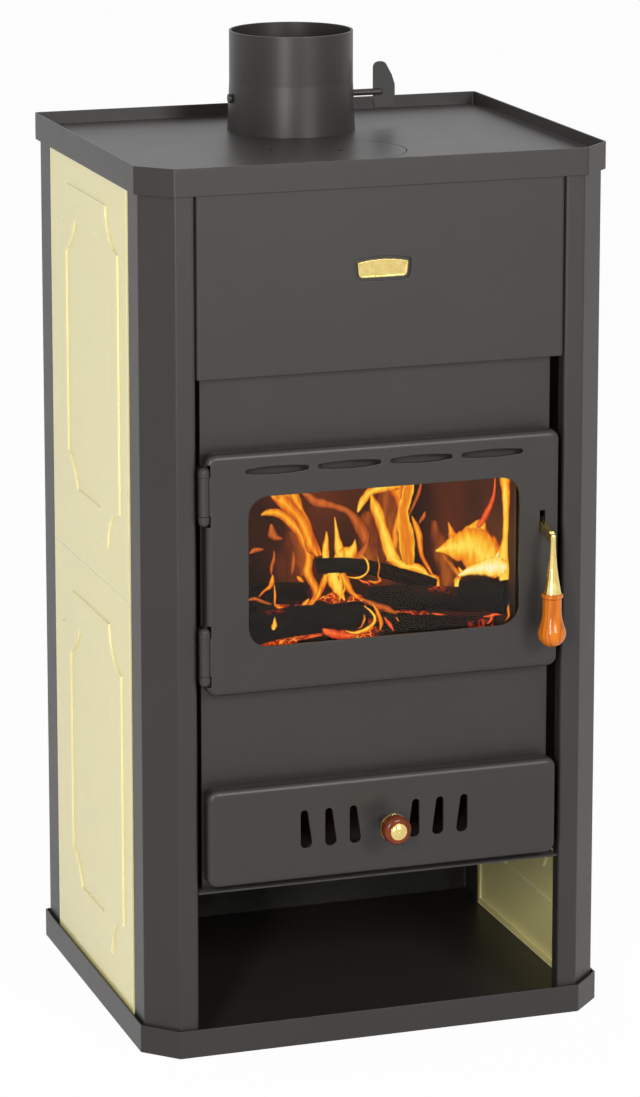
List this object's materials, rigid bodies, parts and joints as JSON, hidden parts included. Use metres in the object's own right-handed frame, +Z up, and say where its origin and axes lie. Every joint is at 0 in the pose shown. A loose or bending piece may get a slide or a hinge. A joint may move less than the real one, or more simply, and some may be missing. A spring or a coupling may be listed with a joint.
{
  "type": "hydronic wood stove",
  "caption": "Tall freestanding wood stove with a water jacket, a glazed side-hinged fire door, an ash drawer with an air shutter, a wood store and a round flue collar on top.",
  "frame": {"origin": "middle of the plinth's footprint, on the floor", "axes": "+X to the stove's right as seen from its front, +Y to the back, +Z up"},
  "size_m": [0.57, 0.5335, 1.15],
  "materials": {
    "casing_paint": "satin anthracite paint",
    "black_steel": "matt black heat-proof paint",
    "cream_enamel": "glossy cream enamel",
    "zinc_steel": "zinc plated",
    "brass": "polished and lacquered",
    "turned_wood": "glossy clear lacquer over orange-brown wood",
    "seal_rope": "woven glass fibre",
    "window_glass": "clear glass ceramic",
    "grate_iron": "raw casting"
  },
  "bodies": {
    "stove_body": {"plinth": "casing_paint", "top_tray": "casing_paint", "lid_ledge": "black_steel", "front_post_left": "casing_paint", "front_post_right": "casing_paint", "rear_post_left": "casing_paint", "rear_post_right": "casing_paint", "side_panel_lower_left": "cream_enamel", "side_panel_lower_right": "cream_enamel", "side_panel_upper_left": "cream_enamel", "side_panel_upper_right": "cream_enamel", "carrier_rails": "black_steel", "panel_rails": "black_steel", "rail_bolts": "zinc_steel", "store_ceiling": "black_steel", "rear_cover": "black_steel", "rear_cover_screws": "zinc_steel", "fascia": "casing_paint", "badge_plate": "brass", "front_plate": "casing_paint", "jacket_shell": "black_steel", "firebox_liner": "black_steel", "jacket_rings": "black_steel", "jacket_stays": "black_steel", "water_shelf": "black_steel", "firebox_floor": "black_steel", "ash_pit": "black_steel", "drawer_runners": "black_steel", "water_sockets": "zinc_steel", "small_water_sockets": "zinc_steel", "probe_pocket": "zinc_steel", "flue_collar": "casing_paint", "hinge_brackets": "casing_paint", "hinge_pins": "casing_paint", "latch_keeper": "black_steel"},
    "firebox_door": {"door_front": "casing_paint", "seal_channel": "black_steel", "door_seal": "seal_rope", "door_glass": "window_glass", "glass_seal": "seal_rope", "glass_clips": "zinc_steel", "door_barrels": "casing_paint", "handle_bracket": "black_steel", "handle_pin": "zinc_steel"},
    "door_handle": {"handle_lever": "brass", "handle_grip": "turned_wood", "latch_hook": "zinc_steel"},
    "ash_drawer": {"drawer_front": "casing_paint", "drawer_back_plate": "black_steel", "ash_box": "black_steel"},
    "air_control": {"knob_stem": "casing_paint", "air_knob": "turned_wood", "knob_brass": "brass"},
    "air_shutter": {"air_shutter": "black_steel"},
    "flue_damper": {"damper_plate": "black_steel", "damper_shaft": "casing_paint", "damper_lever": "casing_paint"},
    "cooking_lid": {"cooking_lid": "casing_paint"},
    "grate": {"grate": "grate_iron"}
  },
  "joints": [
    {"name": "door_hinge", "type": "hinge", "parent": "stove_body", "child": "firebox_door", "pos_m": [-0.217, -0.238, 0.575], "axis": [0, 0, -1], "range_deg": [0, 110]},
    {"name": "handle_pivot", "type": "hinge", "parent": "firebox_door", "child": "door_handle", "pos_m": [0.1935, -0.229, 0.606], "axis": [-1, 0, 0], "range_deg": [0, 35]},
    {"name": "drawer_slide", "type": "slide", "parent": "stove_body", "child": "ash_drawer", "axis": [0, -1, 0], "range_m": [0, 0.3]},
    {"name": "knob_turn", "type": "hinge", "parent": "ash_drawer", "child": "air_control", "pos_m": [0, -0.241, 0.267], "axis": [0, 1, 0], "range_deg": [0, 60]},
    {"name": "shutter_slide", "type": "slide", "parent": "ash_drawer", "child": "air_shutter", "axis": [1, 0, 0], "range_m": [0, 0.015]},
    {"name": "damper_turn", "type": "hinge", "parent": "stove_body", "child": "flue_damper", "pos_m": [0, 0.105, 1.07], "axis": [1, 0, 0], "range_deg": [0, 90]},
    {"name": "lid_lift", "type": "slide", "parent": "stove_body", "child": "cooking_lid", "axis": [0, 0, 1], "range_m": [0, 0.12]},
    {"name": "grate_lift", "type": "slide", "parent": "stove_body", "child": "grate", "axis": [0, 0, 1], "range_m": [0, 0.06]}
  ],
  "couplings": [
    {"joint": "knob_turn", "follows": "shutter_slide", "rad_per_m": 69.813}
  ]
}
